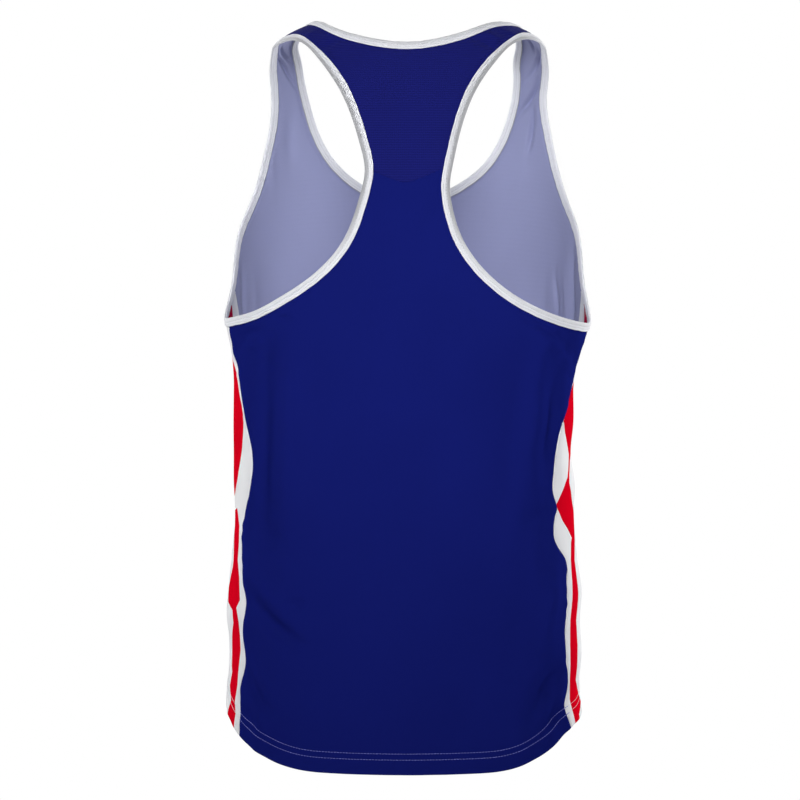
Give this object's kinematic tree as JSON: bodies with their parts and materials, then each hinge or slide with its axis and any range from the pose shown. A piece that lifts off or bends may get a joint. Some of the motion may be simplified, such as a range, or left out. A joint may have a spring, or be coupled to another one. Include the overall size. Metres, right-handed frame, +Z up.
{
  "type": "sleeveless boxing vest",
  "caption": "Sleeveless racerback sports vest, filled out and hollow, with bound neck and armholes, side panels and a rounded hem.",
  "frame": {"origin": "where the shoulder straps rest: on the ridge line between the shoulders, at the straps' mean height, midway between the sides", "axes": "+Z up, -Y towards the back of the vest (the side with the racer yoke), +Y towards the chest, +X to the wearer's right"},
  "size_m": [0.3682, 0.2434, 0.7362],
  "materials": {
    "blue_knit": "smooth polyester jersey, matt",
    "blue_mesh": "fine ribbed mesh, matt",
    "side_knit": "white jersey with a red wave stripe",
    "white_strip": "folded knit binding, matt"
  },
  "bodies": {
    "root": {"back_panel": "blue_knit", "back_yoke": "blue_mesh", "front_panel": "blue_knit", "side_panel_left": "side_knit", "side_panel_right": "side_knit", "neck_binding": "white_strip", "armhole_binding_left": "white_strip", "armhole_binding_right": "white_strip"}
  },
  "joints": []
}
